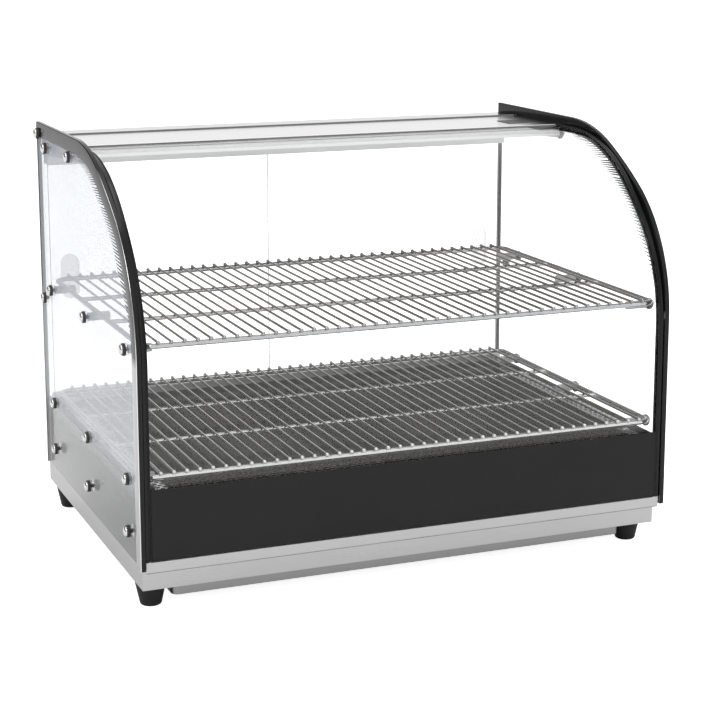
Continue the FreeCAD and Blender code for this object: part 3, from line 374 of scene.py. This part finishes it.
MATERIALS = {
    "steel_brushed": steel("steel_brushed", (0.56, 0.56, 0.56)),
    # Painted reflection and shade: the sheet runs from dark at the front to lighter at the rear,
    # standing in for how light falls on the sides.
    "steel_sheet": steel(
        "steel_sheet", (0.15, 0.15, 0.15), grain=(900, 9, 900), tone=0.02,
        fade=((0.44, 0.44, 0.44), 1, -0.2, 0.2), glance=0.6,
    ),
    # Painted shade and light: the strip is dark in the middle, as painted shade and reflection of
    # the dark inside under the rack, and near white at both ends as painted light.
    "steel_perforated": steel(
        "steel_perforated", (0.13, 0.12, 0.105), rough=(0.1, 0.18), tone=0.05, glance=0.3,
        fade=((0.95, 0.95, 0.95), 0, 0.288, 0.294),
    ),
    "steel_cover": steel(
        "steel_cover", (0.77, 0.77, 0.78), rough=(0.2, 0.22), tone=0.005, bump=0.0
    ),
    "black_panel": enamel("black_panel", (0.006, 0.006, 0.006), 0.4, peel=0.015, level=0.28),
    "black_edging": edging("black_edging", (0.004, 0.004, 0.0045)),
    "black_channel": enamel("black_channel", (0.004, 0.004, 0.0045), 0.16, level=0.3),
    "curved_glass": glass("curved_glass", "curve", glance=0.5),
    # The right end pane carries only a faint painted reflection haze.
    "side_glass": glass("side_glass", 0, head_on=0.04, glance=0.6, reflection_haze=0.02),
    "door_glass": glass("door_glass", 1),
    "pull_plastic": plastic("pull_plastic", (0.8, 0.81, 0.82), 0.2, Alpha=0.27),
    "track_aluminium": steel("track_aluminium", (0.74, 0.74, 0.75), rough=(0.35, 0.5)),
    "rack_chrome": chrome("rack_chrome", (0.78, 0.77, 0.76), rough=0.05),
    "peg_plastic": plastic("peg_plastic", (0.5, 0.505, 0.51), 0.25, Alpha=0.8),
    "screw_chrome": chrome("screw_chrome", (0.82, 0.82, 0.82), rough=0.05),
    "washer_black": plastic("washer_black", (0.055, 0.05, 0.045), 0.5, Specular_IOR_Level=0.25),
    "gasket_black": plastic("gasket_black", (0.02, 0.02, 0.02), 0.45, Specular_IOR_Level=0.25),
    "foot_rubber": plastic(
        "foot_rubber", (0.014, 0.014, 0.0145), 0.5, edge=0.0008, Specular_IOR_Level=0.25
    ),
    "heater_steel": steel("heater_steel", (0.28, 0.25, 0.22), rough=(0.4, 0.6)),
    "lamp_glass": plastic("lamp_glass", (0.9, 0.9, 0.88), 0.25, Transmission_Weight=0.3),
    "socket_plastic": plastic("socket_plastic", (0.7, 0.69, 0.65), 0.45),
    "shaft_steel": chrome("shaft_steel", (0.6, 0.6, 0.6), 0.15),
    "knob_plastic": plastic("knob_plastic", (0.02, 0.02, 0.021), 0.22),
    "switch_plastic": plastic("switch_plastic", (0.025, 0.025, 0.027), 0.28),
    "rocker_plastic": plastic("rocker_plastic", (0.45, 0.02, 0.015), 0.2),
    "pilot_plastic": plastic("pilot_plastic", (0.75, 0.25, 0.03), 0.12, Transmission_Weight=0.3),
    "gland_plastic": plastic("gland_plastic", (0.03, 0.03, 0.032), 0.4),
}
for entry in frame["record"]["subparts"]:
    item = nodes[entry["node"]]
    item.data.materials.clear()
    item.data.materials.append(MATERIALS[entry["material_slot"]])

# Sheets with a finish of their own within their slot; most are lit, shaded or reflecting copies
# that paint light, shade or reflection into the colour
FINISHES_AND_PAINTED_LIGHT = {
    # Painted reflection: the polished deck steel is made very dark to stand in for the dark things
    # it reflects.
    ("deck_plate",): steel("deck_dark_reflection", (0.15, 0.145, 0.138), rough=(0.1, 0.18), glance=0.3),
    # The left end pane carries a strong painted reflection haze, much stronger than the right one.
    ("side_glass_left",): glass("side_glass_left", 0, head_on=0.03, glance=0.6, reflection_haze=0.3),
    ("top_rear_rail",): steel(
        "rail_steel", (0.62, 0.62, 0.63), rough=(0.2, 0.22), tone=0.005, bump=0.0
    ),
    # Painted light: the fascia is a near-white copy of the cover steel, lighter than the cover so
    # that it looks brightly lit.
    ("canopy_fascia",): steel(
        "fascia_painted_light", (0.98, 0.98, 0.98), rough=(0.5, 0.55), tone=0.0, bump=0.0
    ),
    # Painted reflection and shade: the wires above the front rods are darker, brownish on the upper
    # rack, standing in for reflected food and shade; the upper rack is a darker copy of the chrome.
    ("lower_rack",): chrome(
        "rack_chrome_lower_painted_reflection", (0.8, 0.8, 0.8), rough=0.05,
        fade=((0.42, 0.41, 0.39), 2, 0.1585, 0.1592),
    ),
    ("upper_rack",): chrome(
        "rack_chrome_upper_painted_reflection", (0.6, 0.61, 0.63), rough=0.05,
        fade=((0.28, 0.24, 0.21), 2, 0.3055, 0.3062),
    ),
    # Painted reflection: the rear seals are light grey below about 0.29 m and dark above, like the
    # edging flanks.
    ("rear_seal_left", "rear_seal_right"): plastic(
        "seal_painted_reflection", (0.5, 0.505, 0.51), 0.45, fade=((0.16, 0.162, 0.165), 2, 0.28, 0.3)
    ),
    # Painted shade: the pan under the case is a darker copy of the steel.
    ("under_pan",): steel("pan_painted_shade", (0.36, 0.36, 0.36), rough=(0.3, 0.4)),
    ("rear_panel",): steel("rear_sheet", (0.56, 0.56, 0.56)),
}
for names, finish_or_painted_light in FINISHES_AND_PAINTED_LIGHT.items():
    for name in names:
        nodes[name].data.materials[0] = finish_or_painted_light


# ---------------------------------------------------------------- edging and channels

EDGING_PATH = outline(FRONT, TOP, REAR, BASE, PANEL_BENDS)
CHANNEL_PATH = outline(PANE_FRONT, PANE_TOP, PANE_REAR, STRIP_TOP, PANE_BENDS)
EDGING = rounded(
    [(329, 18), (329, 0), (323, 0), (323, 14), (324, 14), (324, 1.5), (328, 1.5), (328, 18)],
    [0.4, 1.2, 1.0, 0.4, 0.4, 0, 0, 0.4],
)
CHANNEL = rounded(
    [(315.5, -1.8), (316.8, -1.8), (317.3, -1.0), (318.3, -1.0), (318.8, -1.8), (322.5, -1.8),
     (322.5, 5.8), (315.5, 5.8), (315.5, 4.2), (320.9, 4.2), (320.9, -0.2), (315.5, -0.2)],
    [0.5, 0.3, 0.2, 0.2, 0.3, 1.2, 0.5, 0.5, 0.5, 0, 0, 0.4],
)
for side, sign in SIDES.items():
    for label, path, profile, slot in (
        ("edge_trim", EDGING_PATH, EDGING, "black_edging"),
        ("front_channel", CHANNEL_PATH, CHANNEL, "black_channel"),
    ):
        mesh = mesh_from(label, lambda shape: sweep(shape, path, profile, sign))
        piece = add_piece(f"{label}_{side}_rounded", mesh, slot)
        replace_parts(piece, f"{label}_{side}")


# ---------------------------------------------------------------- printed comb on the end glass

COMB_PITCH, COMB_INSET, COMB_HALF, COMB_LONG = 5.6, 17.2, 1.5, 28
COMB_START, COMB_FULL, COMB_FADE, COMB_END = 2, 40, 260, 350  # along the outline
COMB_DROP, COMB_LIFT = -6, 5  # rise of a stroke at the start and at the end


def comb(sign):
    """Tapered strokes that fade the printed border of an end glass into the clear."""
    def build(shape):
        path = outline(FRONT, TOP, REAR, BASE, PANEL_BENDS, step=0.25)
        travelled, last, due = 0.0, path[1][0], COMB_START
        for (y, z), (ny, nz) in path[2:-1]:
            travelled += math.hypot(y - last[0], z - last[1])
            last = (y, z)
            if travelled < due or travelled > COMB_END:
                continue
            due += COMB_PITCH
            rise = (travelled - COMB_START) / (COMB_FULL - COMB_START)
            fall = (COMB_END - travelled) / (COMB_END - COMB_FADE)
            amount = max(0.15, min(1.0, rise, fall))
            turn = (travelled - COMB_START) / (COMB_END - COMB_START)
            root = Vector((y - COMB_INSET * ny, z - COMB_INSET * nz))
            reach = Vector((COMB_LONG, COMB_DROP + (COMB_LIFT - COMB_DROP) * turn)) * amount
            side = Vector((nz, -ny)) * COMB_HALF
            tip = root + reach
            ring = [root - side, tip - side * 0.35, tip + side * 0.35, root + side]
            for level in (GLASS_BACK - 0.14, GLASS_FACE + 0.03):
                prism(shape, ring, "X", sign * level, sign * (level + 0.1))
    return build


ink = enamel("printed_border", (0.035, 0.036, 0.038), 0.5, edge=0, peel=0.0)
for side, sign in SIDES.items():
    mesh = mesh_from("comb", comb(sign))
    add_piece(f"printed_comb_{side}", mesh, "black_edging", material=ink)


# ---------------------------------------------------------------- side screws

PEGS = [(y, z) for y in (160, -13, -194) for z in (295.5, 148.5)]
GLASS_SCREWS = PEGS + [(160, 88), (-13, 88), (-194, 88), (168, 475), (44, 478.5), (198, 279)]
EDGING_SCREWS = [(204, 490)]
WASHER = 3
HEAD = [(2, -8), (2, 0), (5.5, 0), (5.65, 0.3), (5.55, 1.4), (5.1, 2.3), (4.4, 2.95), (3.2, 3.35),
        (1.8, 3.56), (0.4, 3.6)]


def screw_heads(shape):
    """Domed heads with their shanks, on both ends of the case."""
    for sign in SIDES.values():
        turn = Matrix.Rotation(sign * math.pi / 2, 4, "Y")
        for places, face in ((GLASS_SCREWS, GLASS_FACE), (EDGING_SCREWS, CASE_HALF)):
            for y, z in places:
                lathe(shape, Matrix.Translation((sign * (face + WASHER), y, z)) @ turn, HEAD)


heads = add_piece("side_screws_domed", mesh_from("heads", screw_heads), "screw_chrome")
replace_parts(heads, "side_screws")


# ---------------------------------------------------------------- perforated strips


def perforated(low, high, pitch, hole, thick):
    """A sheet with staggered round holes, flush with the top of its box."""
    def build(shape):
        columns = round((high[0] - low[0]) / pitch)
        rows = round((high[1] - low[1]) / (pitch * 0.8))
        dx, dy = (high[0] - low[0]) / columns, (high[1] - low[1]) / rows
        for row in range(rows):
            y = low[1] + (row + 0.5) * dy
            shifted = row % 2
            for column in range(columns - shifted):
                x = low[0] + (column + 0.5 + shifted / 2) * dx
                punched_cell(shape, x, y, dx / 2, dy / 2, hole, high[2])
            if shifted:
                for x, sign in ((low[0], 1), (high[0], -1)):
                    far = x + sign * dx / 2
                    half_cell(shape, x, far, y, dy / 2, high[2])
        bmesh.ops.remove_doubles(shape, verts=shape.verts, dist=0.01)
        bmesh.ops.recalc_face_normals(shape, faces=shape.faces)
        bmesh.ops.solidify(shape, geom=shape.faces[:], thickness=thick)
        lowest = min(vert.co.z for vert in shape.verts)
        bmesh.ops.translate(shape, verts=shape.verts, vec=(0, 0, high[2] - thick - lowest))
    return build


def punched_cell(shape, x, y, half_x, half_y, hole, level):
    """Eight faces between a round hole and the rectangle round it."""
    inner, outer = [], []
    for k in range(8):
        angle = math.pi * k / 4
        dx, dy = math.cos(angle), math.sin(angle)
        inner.append(shape.verts.new((x + hole * dx, y + hole * dy, level)))
        outer.append(shape.verts.new((x + round(dx) * half_x, y + round(dy) * half_y, level)))
    for k in range(8):
        j = (k + 1) % 8
        shape.faces.new((inner[k], outer[k], outer[j], inner[j]))


def half_cell(shape, x, far, y, half_y, level):
    """The plain half cell at the end of a shifted row."""
    points = [(x, y - half_y), (far, y - half_y), (far, y), (far, y + half_y), (x, y + half_y)]
    shape.faces.new([shape.verts.new((*point, level)) for point in points])


VENT_PITCH, VENT_HOLE, VENT_THICK = 8.0, 2.9, 1.0
for name in ("vent_strip_front", "vent_strip_left", "vent_strip_right"):
    low, high = corners(name)
    mesh = mesh_from(name, perforated(low, high, VENT_PITCH, VENT_HOLE, VENT_THICK))
    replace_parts(add_piece(f"{name}_fine", mesh, "steel_perforated"), name)

# Small vent patch near the right end of the top cover, over a black sheet of painted shade that
# darkens the holes as if they opened into a shaded cavity
PATCH_LOW, PATCH_HIGH = Vector((268, 70, PANE_TOP)), Vector((306, 108, PANE_TOP + 0.6))
mesh = mesh_from("patch", perforated(PATCH_LOW, PATCH_HIGH, 3.8, 1.25, 0.4))
patch_steel = steel("patch_steel", (0.34, 0.34, 0.35), rough=(0.15, 0.25), glance=0.5)
add_piece("top_vent", mesh, "steel_perforated", material=patch_steel)
square = [(PATCH_LOW.x, PATCH_LOW.y), (PATCH_HIGH.x, PATCH_LOW.y),
          (PATCH_HIGH.x, PATCH_HIGH.y), (PATCH_LOW.x, PATCH_HIGH.y)]
vent_shade_sheet = mesh_from("vent_shade_sheet", lambda shape: prism(shape, square, "Z", PANE_TOP, PANE_TOP + 0.15))
add_piece("top_vent_painted_shade", vent_shade_sheet, "gasket_black")


# ---------------------------------------------------------------- top seams and rolled edges

COVER_HALF, SEAM_REAR, SEAM_FRONT = 322.4, 164, 33
GASKET_TOP, GASKET_DEEP, ROLL = 492.9, 2.4, 2.2


def bar(half, y, z, points):
    """A rounded bar along X; its section is given as offsets from a corner."""
    def build(shape):
        loft(shape, [[(x, y + dy, z + dz) for dy, dz in points] for x in (-half, half)])
    return build


def dome(wide, tall, base=0.0, steps=8):
    """Half an ellipse on a flat foot, as (dy, dz) offsets."""
    arc = [math.pi * k / steps for k in range(steps + 1)]
    top = [(wide / 2 * (1 - math.cos(a)), base + (tall - base) * math.sin(a)) for a in arc]
    return [(0, 0), *top, (wide, 0)]


def seam_gaskets(shape):
    """Rubber beads that stand up out of the two seams of the top."""
    for half, low, high, lower in (
        (320.8, SEAM_REAR - 2.4, SEAM_REAR - 0.1, 0.2), (315.3, 31.1, SEAM_FRONT - 0.1, 0.7)
    ):
        tall = GASKET_TOP - PANE_TOP + GASKET_DEEP - lower
        bar(half, low, PANE_TOP - GASKET_DEEP, dome(high - low, tall, tall - 0.9))(shape)


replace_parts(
    add_piece(
        "seam_gaskets", mesh_from("gaskets", seam_gaskets), "gasket_black",
        material=plastic("gasket_grey", (0.17, 0.167, 0.163), 0.5, Specular_IOR_Level=0.25),
    ),
    "cover_gaskets",
)
# Painted highlight: the rolled edges are a near-white copy of the cover steel, so that they read as
# bright lines.
roll_painted_highlight = steel("rolled_edge_painted_highlight", (0.95, 0.95, 0.95), rough=(0.18, 0.25), tone=0.01)
for label, y in (("front", SEAM_FRONT + 0.2), ("rear", SEAM_REAR + 0.2)):
    section = dome(2 * ROLL, ROLL * 0.6 + 0.3, 0.1)
    mesh = mesh_from("roll", bar(COVER_HALF, y, PANE_TOP - 0.3, section))
    add_piece(f"cover_roll_{label}", mesh, "steel_cover", material=roll_painted_highlight)

# Thin grey bead under the front edge of the lower strip: a painted shadow line that stands in for
# the contact shadow on the frame below
mesh = mesh_from("shadow_line_bead", bar(321.6, -241.3, 51.9, rounded(
    [(0, 0), (0, 1.1), (3, 1.1), (3, 0)], [0.3, 0, 0, 0.3]
)))
painted_shadow_grey = plastic("painted_shadow_grey", (0.32, 0.32, 0.32), 0.5, Specular_IOR_Level=0.25)
add_piece("strip_painted_shadow_line", mesh, "gasket_black", material=painted_shadow_grey)


# ---------------------------------------------------------------- rack wire ends

WIRES, WIRE_PITCH, BEAD = 41, 15, 2.4


def wire_ends(rack):
    """Rounded beads on both ends of every wire."""
    low, high = corners(rack)
    level = high.z - 1.5

    def build(shape):
        profile = [(BEAD * math.sin(a), -BEAD * math.cos(a))
                   for a in (math.radians(d) for d in (12, 40, 65, 90, 115, 140, 168))]
        for i in range(WIRES):
            x = (i - (WIRES - 1) / 2) * WIRE_PITCH
            for y in (low.y + 1, high.y - 1):
                turn = Matrix.Rotation(math.pi / 2, 4, "X")
                lathe(shape, Matrix.Translation((x, y, level)) @ turn, profile, steps=12)
    return build


# Painted highlight and shade: the beads are lit and shaded copies of one chrome, near white on the
# lower rack and grey on the upper one.
painted_bead_tones = {
    "upper_rack": chrome("bead_painted_shade", (0.5, 0.5, 0.51), rough=0.15),
    "lower_rack": chrome("bead_painted_highlight", (0.97, 0.97, 0.97), rough=0.3),
}
for rack, material in painted_bead_tones.items():
    mesh = mesh_from(rack, wire_ends(rack))
    add_piece(f"{rack}_wire_ends", mesh, "rack_chrome", body=rack, material=material)


# ---------------------------------------------------------------- thermostat knob and its dial

KNOB_X, KNOB_Z, KNOB_BASE, KNOB_FACE = -230, 96, 229, 244
FLUTES, DIAL_INNER, DIAL_OUTER, TICKS = 24, 22.5, 26.5, 11
POINTER_HALF, TICK_HALF, SWING_START, SWING = 0.7, 0.45, 225, 270


def knob(shape):
    """Fluted grip on a round skirt."""
    rings = []
    for radius, flute, y in (
        (19.4, 0, 0), (20, 0, 0.6), (20, 0, 3.2), (19.2, 0, 4.4), (13.4, 0, 5), (12.6, 0.5, 5.6),
        (12.0, 0.5, 13.2), (11.2, 0.3, 14.6), (10.2, 0, 15), (0.4, 0, 15),
    ):
        ring = []
        for k in range(FLUTES * 4):
            angle = 2 * math.pi * k / (FLUTES * 4)
            reach = radius + flute * math.cos(FLUTES * angle)
            across, up = reach * math.cos(angle), reach * math.sin(angle)
            ring.append((KNOB_X + across, KNOB_BASE + y, KNOB_Z + up))
        rings.append(ring)
    loft(shape, rings)


def pointer(shape):
    """White line along the skirt and up the grip."""
    left, right = KNOB_X - POINTER_HALF, KNOB_X + POINTER_HALF
    for low, high, near, far in (
        (12, 19, KNOB_BASE + 4.2, KNOB_BASE + 5.2), (2, 10.5, KNOB_FACE - 0.3, KNOB_FACE)
    ):
        low, high = KNOB_Z + low, KNOB_Z + high
        prism(shape, [(left, low), (right, low), (right, high), (left, high)], "Y", near, far)


def dial(shape):
    """Printed ticks round the knob, over three quarters of a turn."""
    face = corners("rear_panel")[1].y
    for i in range(TICKS):
        angle = math.radians(SWING_START - SWING * i / (TICKS - 1))
        out = Vector((math.cos(angle), math.sin(angle)))
        side = Vector((-out.y, out.x)) * TICK_HALF
        centre = Vector((KNOB_X, KNOB_Z))
        near, far = centre + out * DIAL_INNER, centre + out * DIAL_OUTER
        prism(shape, [near - side, near + side, far + side, far - side], "Y", face, face + 0.05)


grip = add_piece(
    "thermostat_knob_fluted", mesh_from("knob", knob), "knob_plastic", "thermostat_knob"
)
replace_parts(grip, "thermostat_knob")
white = plastic("pointer_white", (0.85, 0.85, 0.84), 0.4)
add_piece(
    "knob_pointer", mesh_from("pointer", pointer), "knob_plastic", "thermostat_knob", material=white
)
black = plastic("dial_black", (0.02, 0.02, 0.02), 0.5)
add_piece("dial_ticks", mesh_from("dial", dial), "knob_plastic", material=black)


# ---------------------------------------------------------------- room, light and camera

FLOOR_HALF = 30000
FLOOR_GLOW = 0.86  # white added to the floor, for the camera only
FLAG_LEVEL = 0.16  # what a dark flag leaves of the white world
CAMERA_PLACE, CAMERA_AIM = (-0.8331, -2.1302, 0.7586), (0.3673, 0.9092, -0.1962)
CAMERA_LENS, CAMERA_SHIFT = 93.31, -0.0972

floor_mesh = mesh_from("floor", lambda shape: bmesh.ops.create_grid(
    shape, x_segments=8, y_segments=8, size=FLOOR_HALF
))
floor_look = Look("floor", Roughness=0.9, Base_Color=(0.85, 0.85, 0.85, 1), Specular_IOR_Level=0.0)
ray = floor_look.node("ShaderNodeLightPath").outputs["Is Camera Ray"]
strength = floor_look.math("MULTIPLY", ray, FLOOR_GLOW)
glow = floor_look.node("ShaderNodeEmission", Strength=strength).outputs[0]
lit = floor_look.node("ShaderNodeAddShader", _0=floor_look.shader.outputs[0], _1=glow).outputs[0]
floor_look.tree.links.new(lit, floor_look.output.inputs["Surface"])
floor = bpy.data.objects.new("floor", floor_mesh)
scene.collection.objects.link(floor)
floor_mesh.materials.append(floor_look.material)

world = bpy.data.worlds.new("studio")
world.use_nodes = True
scene.world = world
tree = world.node_tree


def world_node(kind, *links, **properties):
    """A world node with its inputs linked in order, or set where a number is given."""
    item = tree.nodes.new(kind)
    for key, value in properties.items():
        setattr(item, key, value)
    for index, value in enumerate(links):
        if isinstance(value, bpy.types.NodeSocket):
            tree.links.new(value, item.inputs[index])
        elif value is not None:
            item.inputs[index].default_value = value
    return item.outputs


direction = world_node("ShaderNodeTexCoord")["Generated"]
across, away, up = world_node("ShaderNodeSeparateXYZ", direction)


def ramp(value, start, end):
    """0 at start, 1 at end, smooth between."""
    return world_node(
        "ShaderNodeMapRange", value, start, end, 0.0, 1.0, interpolation_type="SMOOTHSTEP"
    )[0]


# Dark flags to both sides of the white studio and one high behind, seen only in reflections
left_flag = ramp(across, -0.5, -0.72)
right_flag = ramp(across, 0.52, 0.74)
behind = world_node("ShaderNodeMath", ramp(across, 0.12, -0.05), ramp(away, 0.55, 0.75),
                    operation="MULTIPLY")[0]
behind = world_node("ShaderNodeMath", behind, ramp(up, 0.0, 0.06), operation="MULTIPLY")[0]
flags = world_node("ShaderNodeMath", left_flag, right_flag, operation="ADD")[0]
flags = world_node("ShaderNodeMath", flags, behind, operation="MAXIMUM")[0]
level = world_node("ShaderNodeMapRange", flags, 0.0, 1.0, 1.0, FLAG_LEVEL)[0]
reflected = world_node("ShaderNodeBackground", (1, 1, 1, 1), level)[0]
plain = world_node("ShaderNodeBackground", (1, 1, 1, 1), 1.0)[0]
glossy = world_node("ShaderNodeLightPath")["Is Glossy Ray"]
choice = world_node("ShaderNodeMixShader", glossy, plain, reflected)[0]
tree.links.new(choice, tree.nodes["World Output"].inputs[0])


def softbox(name, place, target, wide, tall, power):
    """A rectangular area light at a place, turned to a target; sizes in metres and watts."""
    data = bpy.data.lights.new(name, "AREA")
    data.shape = "RECTANGLE"
    data.size, data.size_y, data.energy = wide, tall, power
    item = bpy.data.objects.new(name, data)
    scene.collection.objects.link(item)
    item.location = place
    item.rotation_euler = (Vector(target) - Vector(place)).to_track_quat("-Z", "Y").to_euler()


softbox("key", (-1.6, -1.5, 2.4), (0, 0, 0.25), 1.4, 1.4, 16)
softbox("fill", (2.2, -1.4, 1.6), (0, 0, 0.25), 1.2, 1.6, 6)
softbox("top", (0.0, 0.3, 2.6), (0, 0, 0.3), 2.0, 1.2, 10)

camera_data = bpy.data.cameras.new("camera")
camera = bpy.data.objects.new("camera", camera_data)
scene.collection.objects.link(camera)
camera.location = CAMERA_PLACE
camera.rotation_euler = Vector(CAMERA_AIM).to_track_quat("-Z", "Y").to_euler()
camera_data.sensor_width = 36
camera_data.lens = CAMERA_LENS
camera_data.shift_y = CAMERA_SHIFT
camera_data.clip_start, camera_data.clip_end = 0.01, 100
scene.camera = camera
scene.view_settings.view_transform = "Standard"
